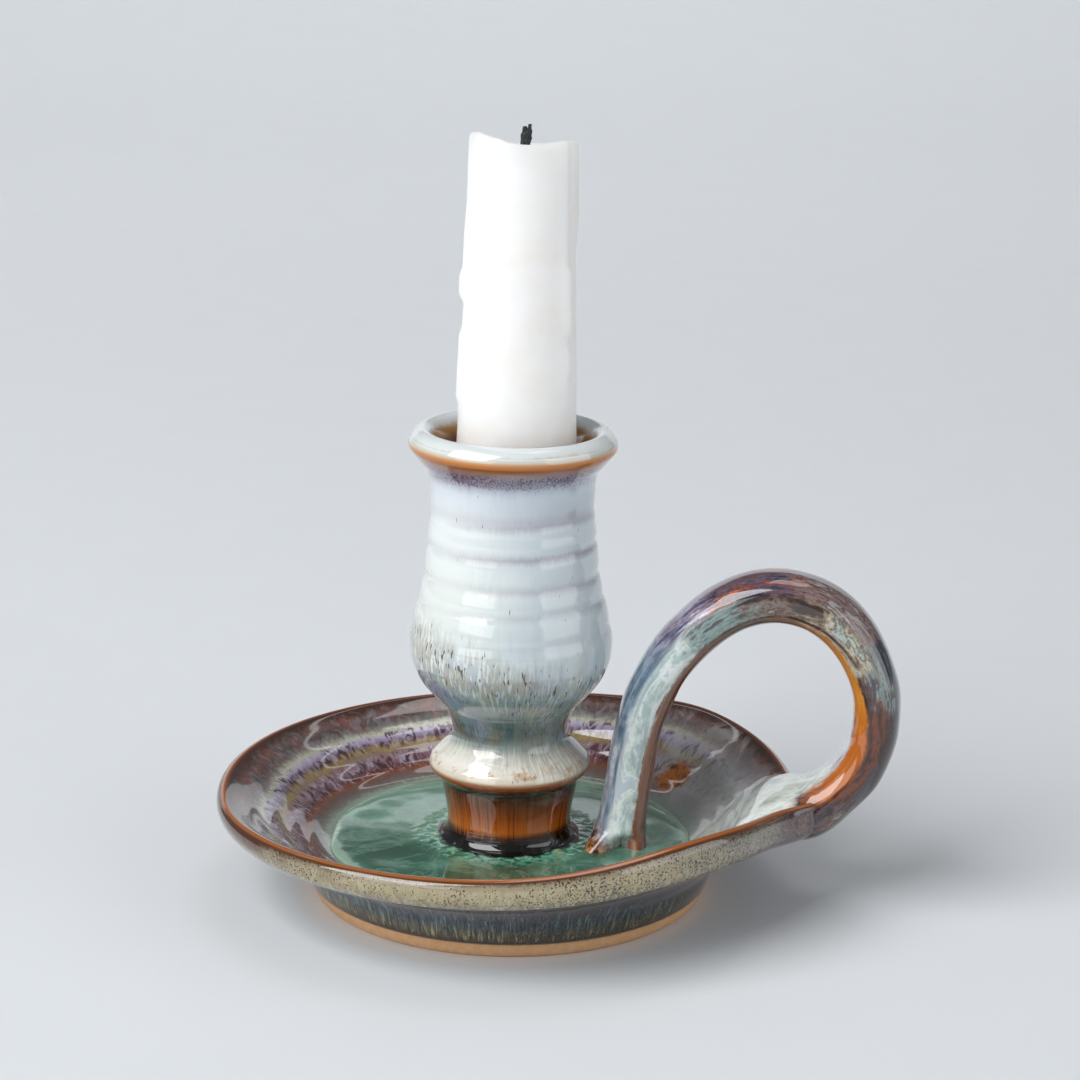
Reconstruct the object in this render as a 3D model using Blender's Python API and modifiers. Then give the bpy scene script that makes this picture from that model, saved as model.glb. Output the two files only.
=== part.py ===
"""A glazed stoneware chamberstick with its candle.

A thrown drip tray on a turned foot carries a thrown candle socket and a pulled loop handle, all luted together and
glazed. Melted green glass lies in the tray's well, and a tapered candle with its wick stands in the socket.

Metres, +Z up. The origin is the middle of the whole footprint, on the surface that the foot stands on. The handle
points along +X, and the socket stands on the tray's own axis, at x = TRAY_X.
"""

import math

import bmesh
import bpy
from mathutils import Vector

# Clearance between two pieces that touch, and the ways round for a turned piece.
GAP = 0.0003
TRAY_STEPS = 64
SOCKET_STEPS = 44
CANDLE_STEPS = 28

# Drip tray, from its own axis.
FOOT_RADIUS = 0.0370
FOOT_INNER_RADIUS = 0.0300
RECESS_DEPTH = 0.0040
FLOOR_Z = 0.0089
RIM_RADIUS = 0.0532
RIM_Z = 0.0213
LIP_RADIUS = 0.0547
RIM_TILT = 0.0009
RIM_HUMPS = ((53.0, 0.0018, 19.0), (-43.0, 0.0027, 20.0))
FAR_SIDE_STRETCH = 0.022

# Glass melted in the well.
POOL_TOP_Z = 0.0101
POOL_RADIUS = 0.0345
POOL_INNER_RADIUS = 0.0132

# Candle socket.
SOCKET_BASE_Z = FLOOR_Z + GAP
SOCKET_TOP_Z = 0.0893
SEAT_Z = 0.0400
BORE_RADIUS = 0.0121

# Loop handle.
HANDLE_REACH = 0.0732
HANDLE_SECTION_POINTS = 16
HANDLE_STEPS_PER_SPAN = 2
SECTION_SQUARENESS = 0.86

# Candle and wick.
CANDLE_BASE_RADIUS = 0.0114
CANDLE_TOP_RADIUS = 0.0090
CANDLE_TOP_Z = 0.1434
CANDLE_LEAN = 0.012
MELT_DEPTH = 0.0035
WICK_RADIUS = 0.0009
WICK_HOLE_RADIUS = 0.0013
WICK_TOP_Z = 0.1453

# The whole footprint is centred on the origin.
TRAY_X = (LIP_RADIUS * (1.0 + FAR_SIDE_STRETCH) - HANDLE_REACH) / 2


def clear_scene():
    for obj in list(bpy.data.objects):
        bpy.data.objects.remove(obj)


def new_collection(name, parent):
    collection = bpy.data.collections.new(name)
    parent.children.link(collection)
    return collection


def material(name, colour, roughness, metallic=0.0):
    made = bpy.data.materials.new(name)
    made.use_nodes = True
    shader = made.node_tree.nodes["Principled BSDF"]
    shader.inputs["Base Color"].default_value = (*colour, 1.0)
    shader.inputs["Roughness"].default_value = roughness
    shader.inputs["Metallic"].default_value = metallic
    return made


def smooth_line(points, steps):
    """A Catmull-Rom curve through the points, with this many steps from each point to the next."""
    points = [Vector(p) for p in points]
    first = 2 * points[0] - points[1]
    last = 2 * points[-1] - points[-2]
    ends = [first, *points, last]
    line = []
    for i in range(1, len(ends) - 2):
        a, b, c, d = ends[i - 1 : i + 3]
        for step in range(steps):
            t = step / steps
            line.append(
                0.5 * (2 * b + (c - a) * t + (2 * a - 5 * b + 4 * c - d) * t**2 + (3 * b - a - 3 * c + d) * t**3)
            )
    return [*line, points[-1]]


def mesh_object(name, mesh, collection, finish, smooth_below=40.0):
    obj = bpy.data.objects.new(name, mesh)
    collection.objects.link(obj)
    obj.data.materials.append(finish)
    obj.data.shade_smooth()
    obj.data.set_sharp_from_angle(angle=math.radians(smooth_below))
    return obj


def turned(name, profile, steps, collection, finish):
    """The solid that a profile of (radius, height) sweeps round the Z axis. It runs down the piece's outer side."""
    mesh = bpy.data.meshes.new(name + "_profile")
    points = [(radius, 0.0, height) for radius, height in profile]
    mesh.from_pydata(points, [(i, i + 1) for i in range(len(points) - 1)], [])
    obj = bpy.data.objects.new(name, mesh)
    collection.objects.link(obj)
    screw = obj.modifiers.new("Turn", "SCREW")
    screw.steps = screw.render_steps = steps
    screw.use_merge_vertices = True
    screw.merge_threshold = 0.00001
    turned_mesh = made_mesh(obj)
    bpy.data.objects.remove(obj)
    return mesh_object(name, turned_mesh, collection, finish)


def made_mesh(obj):
    """The object's mesh with its modifiers applied."""
    graph = bpy.context.evaluated_depsgraph_get()
    return bpy.data.meshes.new_from_object(obj.evaluated_get(graph))


def grown_copy(obj, name, cutters, by=GAP):
    """A cutter in the shape of the object, grown by the clearance on every side."""
    cutter = bpy.data.objects.new(name, obj.data.copy())
    cutter.location = obj.location
    cutters.objects.link(cutter)
    grow = cutter.modifiers.new("Grow", "DISPLACE")
    grow.strength = by
    grow.mid_level = 0.0
    cutter.hide_render = True
    cutter.display_type = "WIRE"
    return cutter


def cut_by(obj, cutter):
    cut = obj.modifiers.new("Clear of " + cutter.name, "BOOLEAN")
    cut.operation = "DIFFERENCE"
    cut.object = cutter


def hump(angle, centre, width):
    """A smooth rise of 1 at the centre angle, in degrees, that fades over the width to each side."""
    away = (angle - centre + 180.0) % 360.0 - 180.0
    return math.exp(-((away / width) ** 2))


def bend_rim(tray):
    """The rim tips up towards the handle, rides up beside it, and is drawn out on the far side."""
    for vertex in tray.data.vertices:
        x, y, z = vertex.co
        share = min(max((z - SOCKET_BASE_Z) / (RIM_Z - SOCKET_BASE_Z), 0.0), 1.0)
        radius = math.hypot(x, y)
        if share == 0.0 or radius < POOL_RADIUS:
            continue
        angle = math.degrees(math.atan2(y, x))
        lift = RIM_TILT * x / RIM_RADIUS + sum(h * hump(angle, at, width) for at, h, width in RIM_HUMPS)
        stretch = FAR_SIDE_STRETCH * ((1.0 - x / radius) / 2) ** 2
        vertex.co = (x * (1 + stretch * share), y * (1 + stretch * share), z + lift * share)


def make_tray(collection):
    inside = smooth_line(
        [(0.0310, FLOOR_Z), (0.0360, 0.0098), (0.0410, 0.0128), (0.0460, 0.0168), (0.0505, 0.0201)], 2
    )
    rim = smooth_line(
        [(0.0521, 0.0211), (RIM_RADIUS, RIM_Z), (0.0543, 0.0205), (LIP_RADIUS, 0.0190), (0.0541, 0.0171)], 2
    )
    underside = smooth_line([(0.0524, 0.0160), (0.0470, 0.0137), (0.0425, 0.0108), (0.0402, 0.0080)], 2)
    foot = [(0.0391, 0.0050), (0.0380, 0.0022), (FOOT_RADIUS, 0.0005), (FOOT_RADIUS - 0.0006, 0.0)]
    recess = [(FOOT_INNER_RADIUS, 0.0), (FOOT_INNER_RADIUS - 0.0012, RECESS_DEPTH), (0.0, RECESS_DEPTH)]
    profile = [(0.0, FLOOR_Z), *inside, *rim, *underside, *foot, *recess]
    stoneware = material("tray_glaze", (0.26, 0.20, 0.17), 0.2)
    tray = turned("drip_tray", profile, TRAY_STEPS, collection, stoneware)
    bend_rim(tray)
    tray.location.x = TRAY_X
    return tray


def make_socket(collection):
    bore = [(0.0, SEAT_Z), (BORE_RADIUS - 0.0008, SEAT_Z), (BORE_RADIUS, SEAT_Z + 0.0008)]
    throat = smooth_line([(0.0123, 0.0600), (0.0127, 0.0760), (0.0133, 0.0830), (0.0144, 0.0868)], 1)
    lip = smooth_line([(0.0155, 0.0886), (0.0168, SOCKET_TOP_Z), (0.0183, 0.0888), (0.0193, 0.0872)], 2)
    neck = smooth_line([(0.0187, 0.0850), (0.0166, 0.0824), (0.0154, 0.0790), (0.0154, 0.0730), (0.0160, 0.0680)], 1)
    belly = smooth_line(
        [(0.0165, 0.0620), (0.0177, 0.0560), (0.0189, 0.0506), (0.0189, 0.0465), (0.0172, 0.0418), (0.0136, 0.0372)],
        2,
    )
    waist = smooth_line([(0.0118, 0.0345), (0.0108, 0.0314), (0.0122, 0.0287), (0.0144, 0.0264)], 2)
    collar = [(0.0152, 0.0247), (0.0150, 0.0238), (0.0138, 0.0230), (0.0129, 0.0224)]
    spool = [(0.0127, 0.0200), (0.0120, 0.0168), (0.0117, 0.0138), (0.0119, 0.0112), (0.0126, SOCKET_BASE_Z)]
    profile = [*bore, *throat, *lip, *neck, *belly, *waist, *collar, *spool, (0.0, SOCKET_BASE_Z)]
    glaze = material("socket_glaze", (0.66, 0.74, 0.76), 0.15)
    socket = turned("candle_socket", profile, SOCKET_STEPS, collection, glaze)
    socket.location.x = TRAY_X
    return socket


# The handle's middle line as (distance from the tray's axis, height), with its thickness and its width there: up
# from the well, round the finger loop, then over the rim and down the tray's slope, where it is pressed out flat.
HANDLE_STATIONS = (
    (0.0212, 0.0070, 0.0104, 0.0125),
    (0.0216, 0.0120, 0.0094, 0.0118),
    (0.0226, 0.0200, 0.0087, 0.0112),
    (0.0240, 0.0300, 0.0088, 0.0112),
    (0.0265, 0.0395, 0.0090, 0.0118),
    (0.0308, 0.0475, 0.0091, 0.0124),
    (0.0364, 0.0538, 0.0092, 0.0128),
    (0.0427, 0.0580, 0.0092, 0.0130),
    (0.0496, 0.0597, 0.0092, 0.0130),
    (0.0563, 0.0584, 0.0092, 0.0130),
    (0.0620, 0.0546, 0.0090, 0.0128),
    (0.0662, 0.0488, 0.0087, 0.0126),
    (0.0688, 0.0416, 0.0086, 0.0126),
    (0.0685, 0.0342, 0.0087, 0.0130),
    (0.0660, 0.0276, 0.0090, 0.0138),
    (0.0618, 0.0226, 0.0092, 0.0150),
    (0.0572, 0.0200, 0.0092, 0.0168),
    (0.0526, 0.0196, 0.0082, 0.0182),
    (0.0480, 0.0183, 0.0062, 0.0170),
    (0.0430, 0.0146, 0.0050, 0.0140),
    (0.0385, 0.0112, 0.0038, 0.0108),
    (0.0350, 0.0094, 0.0026, 0.0076),
)


def section_ring(centre, normal, thickness, width):
    """A rounded, slightly squared section: its thickness along the normal and its width along Y."""
    ring = []
    for i in range(HANDLE_SECTION_POINTS):
        angle = 2 * math.pi * i / HANDLE_SECTION_POINTS
        c, s = math.cos(angle), math.sin(angle)
        across = math.copysign(abs(c) ** SECTION_SQUARENESS, c) * width / 2
        through = math.copysign(abs(s) ** SECTION_SQUARENESS, s) * thickness / 2
        ring.append(centre + normal * through + Vector((0.0, across, 0.0)))
    return ring


def handle_blank():
    """The pulled strap before it is trimmed to the tray: a loft along the stations."""
    line = smooth_line(HANDLE_STATIONS, HANDLE_STEPS_PER_SPAN)
    shape = bmesh.new()
    rings = []
    for i, (x, z, thickness, width) in enumerate(line):
        before, after = line[max(i - 1, 0)], line[min(i + 1, len(line) - 1)]
        along = Vector((after[0] - before[0], 0.0, after[1] - before[1])).normalized()
        normal = Vector((-along.z, 0.0, along.x))
        ring = section_ring(Vector((x, 0.0, z)), normal, thickness, width)
        rings.append([shape.verts.new(point) for point in ring])
    for ring, following in zip(rings, rings[1:]):
        for i in range(HANDLE_SECTION_POINTS):
            j = (i + 1) % HANDLE_SECTION_POINTS
            shape.faces.new((ring[i], ring[j], following[j], following[i]))
    shape.faces.new(reversed(rings[0]))
    shape.faces.new(rings[-1])
    bmesh.ops.recalc_face_normals(shape, faces=shape.faces)
    mesh = bpy.data.meshes.new("loop_handle")
    shape.to_mesh(mesh)
    shape.free()
    return mesh


def make_handle(collection, tray_cutter):
    glaze = material("handle_glaze", (0.36, 0.35, 0.37), 0.18)
    handle = mesh_object("loop_handle", handle_blank(), collection, glaze, smooth_below=50.0)
    handle.location.x = TRAY_X
    cut_by(handle, tray_cutter)
    return handle


def make_pool(collection, handle_cutter):
    glass = material("green_glass", (0.10, 0.26, 0.19), 0.05)
    low = FLOOR_Z + GAP
    profile = [
        (POOL_INNER_RADIUS, POOL_TOP_Z),
        (POOL_RADIUS - 0.0004, POOL_TOP_Z),
        (POOL_RADIUS, POOL_TOP_Z - 0.0004),
        (POOL_RADIUS - 0.0018, low),
        (POOL_INNER_RADIUS, low),
        (POOL_INNER_RADIUS, POOL_TOP_Z),
    ]
    pool = turned("glass_pool", profile, TRAY_STEPS, collection, glass)
    pool.location.x = TRAY_X
    cut_by(pool, handle_cutter)
    return pool


def lean_and_melt(wax):
    """The candle leans a little towards the handle, and its melted top is higher on the far side."""
    for vertex in wax.data.vertices:
        above_seat = vertex.co.z - SEAT_Z
        if vertex.co.z > CANDLE_TOP_Z - 2 * MELT_DEPTH:
            vertex.co.z -= 0.12 * vertex.co.x
        if vertex.co.xy.length > WICK_HOLE_RADIUS * 1.1:
            vertex.co.x += CANDLE_LEAN * above_seat


def make_candle(collection):
    wax_finish = material("candle_wax", (0.93, 0.92, 0.89), 0.45)
    low = SEAT_Z + GAP
    melted = smooth_line([(WICK_HOLE_RADIUS, CANDLE_TOP_Z - MELT_DEPTH), (0.0050, 0.1406), (0.0076, 0.1428)], 1)
    shoulder = [(0.0084, CANDLE_TOP_Z), (0.0089, 0.1430), (CANDLE_TOP_RADIUS, 0.1418)]
    sides = [(0.0100, 0.1150), (0.0110, 0.0880), (CANDLE_BASE_RADIUS, 0.0600), (CANDLE_BASE_RADIUS, low + 0.0006)]
    foot = [(CANDLE_BASE_RADIUS - 0.0006, low), (WICK_HOLE_RADIUS, low), (WICK_HOLE_RADIUS, melted[0].y)]
    wax = turned("candle_wax", [*melted, *shoulder, *sides, *foot], CANDLE_STEPS, collection, wax_finish)
    lean_and_melt(wax)
    wax.location.x = TRAY_X
    return wax


def make_wick(collection):
    """A braided cotton wick through the whole candle, with a charred, tapering tip."""
    curve = bpy.data.curves.new("wick", "CURVE")
    curve.dimensions = "3D"
    curve.bevel_depth = WICK_RADIUS
    curve.bevel_resolution = 2
    curve.use_fill_caps = True
    line = curve.splines.new("POLY")
    stations = (
        (SEAT_Z + 2 * GAP, 1.0),
        (CANDLE_TOP_Z - MELT_DEPTH, 1.0),
        (CANDLE_TOP_Z, 0.95),
        (WICK_TOP_Z - 0.0006, 0.7),
        (WICK_TOP_Z, 0.35),
    )
    line.points.add(len(stations) - 1)
    for point, (height, taper) in zip(line.points, stations):
        point.co = (0.0, 0.0, height, 1.0)
        point.radius = taper
    wick = bpy.data.objects.new("wick", curve)
    collection.objects.link(wick)
    curve.materials.append(material("charred_cotton", (0.06, 0.06, 0.065), 0.9))
    wick.location.x = TRAY_X
    return wick


def main():
    clear_scene()
    scene = bpy.context.scene.collection
    parts = new_collection("Chamberstick", scene)
    cutters = new_collection("Cutters", scene)
    tray = make_tray(parts)
    make_socket(parts)
    handle = make_handle(parts, grown_copy(tray, "tray_clearance", cutters))
    make_pool(parts, grown_copy(handle, "handle_clearance", cutters))
    make_candle(parts)
    make_wick(parts)


main()
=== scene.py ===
"""The looks of a glazed stoneware chamberstick and its candle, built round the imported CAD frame.

Shapes are written in millimetres from the socket's own axis, with +X towards the loop handle, and
moved into the frame at the end. Angles in the tables are in degrees round the axis from the handle.
"""

import math
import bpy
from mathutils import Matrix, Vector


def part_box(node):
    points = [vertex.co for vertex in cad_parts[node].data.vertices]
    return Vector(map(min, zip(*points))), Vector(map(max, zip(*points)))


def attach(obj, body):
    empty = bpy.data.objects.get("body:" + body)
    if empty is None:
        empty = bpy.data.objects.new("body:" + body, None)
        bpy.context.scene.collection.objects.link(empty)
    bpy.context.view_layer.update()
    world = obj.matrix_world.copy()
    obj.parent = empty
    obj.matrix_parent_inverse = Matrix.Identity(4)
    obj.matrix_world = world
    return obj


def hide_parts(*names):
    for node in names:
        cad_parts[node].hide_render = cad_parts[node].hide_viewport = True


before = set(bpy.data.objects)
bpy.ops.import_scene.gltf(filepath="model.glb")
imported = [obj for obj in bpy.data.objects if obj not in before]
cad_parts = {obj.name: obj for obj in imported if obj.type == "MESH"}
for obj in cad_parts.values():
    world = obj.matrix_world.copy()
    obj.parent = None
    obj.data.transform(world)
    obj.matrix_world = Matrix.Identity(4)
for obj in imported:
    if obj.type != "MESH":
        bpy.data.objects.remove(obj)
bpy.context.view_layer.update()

from types import SimpleNamespace

import bpy
import numpy as np
from mathutils import Matrix, Vector, noise

MM = 0.001

# ---- Places, from the frame ----

SOCKET_LOW, SOCKET_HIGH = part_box("candle_socket")
AXIS_X = (SOCKET_LOW.x + SOCKET_HIGH.x) / 2

# The handle's direction is turned this far towards the camera from the picture's right.
CAMERA_TURN = 8.5


# ---- Lines, bumps and noise ----


def through(points, spacing):
    """A smooth line through the points, resampled at equal steps of about the spacing.

    The steps are measured along its first two columns, and any further columns go with them.
    """
    points = np.array(points, float)
    ends = np.vstack([2 * points[0] - points[1], points, 2 * points[-1] - points[-2]])
    t = np.linspace(0.0, 1.0, 24, endpoint=False)[:, None]
    spans = [
        0.5 * (2 * b + (c - a) * t + (2 * a - 5 * b + 4 * c - d) * t**2 + (3 * b - a - 3 * c + d) * t**3)
        for a, b, c, d in zip(ends, ends[1:], ends[2:], ends[3:])
    ]
    line = np.vstack([*spans, points[-1:]])
    run = run_along(line)
    even = np.linspace(0.0, run[-1], max(2, round(run[-1] / spacing)) + 1)
    return np.column_stack([np.interp(even, run, column) for column in line.T])


def run_along(line):
    """The distance along a line at each of its points."""
    return np.concatenate([[0.0], np.cumsum(np.linalg.norm(np.diff(line[:, :2], axis=0), axis=1))])


def joined(*lines):
    """Lines end to end, without their shared points."""
    return np.vstack([lines[0], *[line[1:] for line in lines[1:]]])


def rise(value, low, high):
    """0 below low, 1 above high, and a smooth step between them. It falls when high is below low."""
    share = np.clip((value - low) / (high - low), 0.0, 1.0)
    return share * share * (3.0 - 2.0 * share)


def hump(value, centre, width):
    return np.exp(-(((value - centre) / width) ** 2))


def turn_hump(angle, centre, width):
    """A hump round the axis. The angle is in radians, and the centre and width are in degrees."""
    away = (np.degrees(angle) - centre + 180.0) % 360.0 - 180.0
    return np.exp(-((away / width) ** 2))


def roughened(x, y, z, size, seed=0.0):
    """Smooth noise from -1 to 1 at each point, with features of about this size."""
    flat = zip(np.ravel(x) / size, np.ravel(y) / size, np.ravel(z) / size + seed)
    return np.array([noise.noise(Vector(point)) for point in flat]).reshape(np.shape(x))


# ---- Meshes ----


def grid_mesh(name, points, surface, poles=True):
    """A closed mesh from rings of points: rows x steps x 3, in millimetres from the axis.

    With poles, the first and last rows close to one point each. Without, the last row joins the
    first. The surface holds three numbers for each point, which materials read as an attribute.
    """
    rows, steps = points.shape[:2]
    corners = points.reshape(-1, 3)
    values = surface.reshape(-1, 3)
    index = np.arange(rows * steps).reshape(rows, steps)
    upper, lower = (index[:-1], index[1:]) if poles else (index, np.roll(index, -1, axis=0))
    quads = np.stack([upper, lower, np.roll(lower, -1, axis=1), np.roll(upper, -1, axis=1)], axis=-1)
    faces = quads.reshape(-1, 4).tolist()
    if poles:
        corners = np.vstack([corners, points[0].mean(axis=0), points[-1].mean(axis=0)])
        middle = np.array([[0.0, 0.0, surface[0, 0, 2]], [0.0, 0.0, surface[-1, 0, 2]]])
        values = np.vstack([values, middle])
        first, last = rows * steps, rows * steps + 1
        for j in range(steps):
            following = (j + 1) % steps
            faces.append((first, int(index[0, j]), int(index[0, following])))
            faces.append((last, int(index[-1, following]), int(index[-1, j])))
    corners = corners * MM + np.array([AXIS_X, 0.0, 0.0])
    mesh = bpy.data.meshes.new(name)
    mesh.from_pydata(corners.tolist(), [], faces)
    mesh.attributes.new("surface", "FLOAT_VECTOR", "POINT").data.foreach_set("vector", values.ravel())
    mesh.shade_smooth()
    piece = bpy.data.objects.new(name, mesh)
    bpy.context.scene.collection.objects.link(piece)
    return piece


def turned_points(radius, angle, height):
    return np.stack([radius * np.cos(angle), radius * np.sin(angle), height], axis=-1)


def turned_surface(angle, band):
    """The surface numbers of a turned piece: the direction from the axis, and the band."""
    return turned_points(1.0, angle, np.broadcast_to(band, angle.shape))


def turned_rings(outline, steps):
    """The outline's radii, heights and angles as grids of rows x steps."""
    angle = np.linspace(0.0, 2 * math.pi, steps, endpoint=False)
    radius, turn = np.meshgrid(outline[:, 0], angle, indexing="ij")
    height = np.repeat(outline[:, 1:2], steps, axis=1)
    return radius, height, turn


def place(piece, body, node, finish):
    piece.data.materials.append(finish)
    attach(piece, body)
    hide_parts(node)
    return piece


# ---- Shader nodes, written as formulas ----


def colour(code):
    """Linear RGBA from an sRGB code of six hexadecimal digits."""
    parts = [int(code[i : i + 2], 16) / 255 for i in (0, 2, 4)]
    linear = [c / 12.92 if c <= 0.04045 else ((c + 0.055) / 1.055) ** 2.4 for c in parts]
    return (*linear, 1.0)


class Finish:
    """A Principled material built from small formulas. Most methods return a node's output."""

    def __init__(self, name):
        self.material = bpy.data.materials.new(name)
        self.material.use_nodes = True
        self.tree = self.material.node_tree
        self.shader = self.tree.nodes["Principled BSDF"]

    def feed(self, socket, value):
        if isinstance(value, bpy.types.NodeSocket):
            self.tree.links.new(value, socket)
        else:
            socket.default_value = value

    def node(self, kind, inputs, output=0, **settings):
        made = self.tree.nodes.new(kind)
        for key, value in settings.items():
            setattr(made, key, value)
        for key, value in inputs.items():
            self.feed(made.inputs[key], value)
        return made.outputs[output]

    def surface(self, part=None):
        """The mesh's surface attribute, or one of its parts: 0, 1 or 2."""
        vector = self.node("ShaderNodeAttribute", {}, output="Vector", attribute_name="surface")
        return vector if part is None else self.node("ShaderNodeSeparateXYZ", {0: vector}, output=part)

    def position(self):
        return self.node("ShaderNodeTexCoord", {}, output="Object")

    def spot(self):
        """The place in the frame, in millimetres."""
        return self.scaled(self.position(), 1000.0, 1000.0, 1000.0)

    def places(self):
        """A turned piece's surface: across and along give a point's direction from the axis."""
        across, along, band = (self.surface(part) for part in range(3))
        return SimpleNamespace(across=across, along=along, band=band, spot=self.spot())

    def scaled(self, vector, x, y, z):
        return self.node("ShaderNodeVectorMath", {0: vector, 1: (x, y, z)}, operation="MULTIPLY")

    def noise(self, vector, detail=3.0, roughness=0.5, distortion=0.0, scale=1.0):
        inputs = {
            "Vector": vector,
            "Scale": scale,
            "Detail": detail,
            "Roughness": roughness,
            "Distortion": distortion,
        }
        return self.node("ShaderNodeTexNoise", inputs)

    def streaked(self, around, along, **settings):
        """Noise drawn out along the surface's third number. A larger scale makes finer noise."""
        return self.noise(self.scaled(self.surface(), around, around, along), **settings)

    def math(self, operation, a, b=0.0, clamp=False):
        return self.node("ShaderNodeMath", {0: a, 1: b}, operation=operation, use_clamp=clamp)

    def times(self, first, *others):
        """The product of all the values."""
        for other in others:
            first = self.math("MULTIPLY", first, other)
        return first

    def step(self, value, low, high, start=0.0, end=1.0):
        """A smooth step from start at low to end at high."""
        inputs = {"Value": value, "From Min": low, "From Max": high, "To Min": start, "To Max": end}
        return self.node("ShaderNodeMapRange", inputs, interpolation_type="SMOOTHSTEP")

    def wander(self, value, *sources):
        """The value plus, for each (noise, reach), the noise's swing about a half times its reach."""
        for source, reach in sources:
            swing = self.times(self.math("SUBTRACT", source, 0.5), reach)
            value = self.math("ADD", value, swing)
        return value

    def ramp(self, value, stops):
        """A colour for each value. The stops are (value, sRGB code or grey), from low to high."""
        low, high = stops[0][0], stops[-1][0]
        made = self.tree.nodes.new("ShaderNodeValToRGB")
        elements = made.color_ramp.elements
        for i, (at, shade) in enumerate(stops):
            element = elements[i] if i < 2 else elements.new((at - low) / (high - low))
            element.position = (at - low) / (high - low)
            element.color = colour(shade) if isinstance(shade, str) else (shade, shade, shade, 1.0)
        scaled = self.math("DIVIDE", self.math("SUBTRACT", value, low), high - low, clamp=True)
        self.tree.links.new(scaled, made.inputs["Fac"])
        return made.outputs["Color"]

    def mask(self, value, stops):
        """A number from 0 to 1 for each value. The stops are (value, number), from low to high."""
        return self.ramp(value, stops)

    def over(self, below, above, *shares):
        """One colour over another, by the product of the shares."""
        return self.mix(below, above, self.times(*shares))

    def mix(self, a, b, share):
        made = self.tree.nodes.new("ShaderNodeMix")
        made.data_type = "RGBA"
        for socket, value in zip((made.inputs["Factor"], made.inputs[6], made.inputs[7]), (share, a, b)):
            self.feed(socket, colour(value) if isinstance(value, str) else value)
        return made.outputs[2]

    def bump(self, height, strength, distance):
        inputs = {"Height": height, "Strength": strength, "Distance": distance}
        return self.node("ShaderNodeBump", inputs, output="Normal")

    def glazed(self, share=1.0):
        """A clear glassy layer over the colour."""
        self.feed(self.shader.inputs["Coat Weight"], share)
        self.shader.inputs["Coat Roughness"].default_value = 0.05
        self.shader.inputs["Coat IOR"].default_value = 1.7
        self.shader.inputs["Specular IOR Level"].default_value = 0.1

    def done(self, base, roughness, normal=None):
        self.feed(self.shader.inputs["Base Color"], base)
        self.feed(self.shader.inputs["Roughness"], roughness)
        if normal is not None:
            self.feed(self.shader.inputs["Normal"], normal)
        return self.material


# ---- Drip tray ----

WELL_Z = 9.0
RIM_R = 53.2
RIM_Z = 21.3
RIM_STRETCH = 0.022
RIM_TILT = 0.9
SLOPE_START_R = 34.0
RIM_HUMPS = ((53, 1.8, 19), (-43, 2.9, 24), (14, -1.1, 13), (-160, -0.9, 24))

# The inner slope, from the well out to the crest of the rim.
TRAY_INSIDE = through(
    [(31.0, 8.9), (36.0, 9.8), (41.0, 12.6), (46.0, 16.5), (50.3, 19.8), (52.2, 21.0), (RIM_R, RIM_Z)],
    0.45,
)
TRAY_LIP = through(
    [(RIM_R, RIM_Z), (54.3, 20.7), (54.8, 19.2), (54.4, 17.2), (53.0, 15.6), (51.4, 15.1)], 0.35
)
TRAY_WALL = through(
    [(51.4, 15.1), (49.0, 14.8), (46.0, 13.0), (42.6, 10.8), (40.2, 8.0), (39.1, 5.0), (38.4, 3.0)], 0.4
)
TRAY_FOOT = through([(38.4, 3.0), (37.9, 2.7), (37.5, 1.4), (37.0, 0.4), (36.4, 0.0)], 0.3)
FOOT_RECESS = joined(
    through([(36.4, 0.0), (33.0, 0.0), (30.2, 0.0)], 0.8),
    through([(30.2, 0.0), (29.4, 0.6), (28.9, 2.4), (28.0, 3.7), (26.0, 4.0)], 0.5),
    through([(26.0, 4.0), (12.0, 4.1), (0.3, 4.0)], 1.2),
)
# The rim is drawn out under the handle, so that its crest runs on into the strap's edge.
SPUR_REACH, SPUR_TURN, SPUR_WIDTH = 6.5, -3.0, 9.0
# A web of clay fills the corner below, between the lip and the strap.
WEB_REACH, WEB_DROP = 1.4, 1.2
WEB_TURN, WEB_WIDTH = -4, 13
RIDGES = ((49.2, 0.24, 1.6), (45.0, 0.42, 1.5), (41.4, 0.38, 1.4), (38.2, 0.28, 1.2))

# Materials place their colours by bands, which run on to these marks past the crest of the rim:
# the lip's lower edge, the glaze line and the foot's lower edge.
BAND_MARKS = (60.0, 76.0, 80.0)
# The strap's colours where it leaves the rim.
STRAP_FOOT_PALETTE = [
    (0.36, "231519"), (0.46, "43323a"), (0.54, "5f5356"), (0.59, "6a3014"), (0.68, "868e88"),
]
# Where amber glaze shows through on the slope, in the frame's millimetres.
AMBER_PATCH_MM = (20.9, 28.1, 12.4)


def rim_lift(angle):
    """How far the rim rides above its even height."""
    humps = sum(lift * turn_hump(angle, at, width) for at, lift, width in RIM_HUMPS)
    return RIM_TILT * np.cos(angle) + humps


def spiral_drift(angle):
    """How far the thrown rings run out of true, as a spiral does."""
    return 0.5 * np.sin(angle + 0.6) + 0.25 * np.sin(2 * angle)


def throwing_ridges(radius, angle):
    """The low rings that the potter's fingers left in the slope."""
    return sum(height * hump(radius, at + spiral_drift(angle), width) for at, height, width in RIDGES)


def tray_top(x, y):
    """The height of the tray's inner surface over points of its slope."""
    radius, angle = np.hypot(x, y), np.arctan2(y, x)
    plain = np.interp(radius, TRAY_INSIDE[:, 0], TRAY_INSIDE[:, 1])
    share = np.clip((plain - WELL_Z) / (RIM_Z - WELL_Z), 0.0, 1.0)
    return plain + throwing_ridges(radius, angle) + rim_lift(angle) * share


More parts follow.
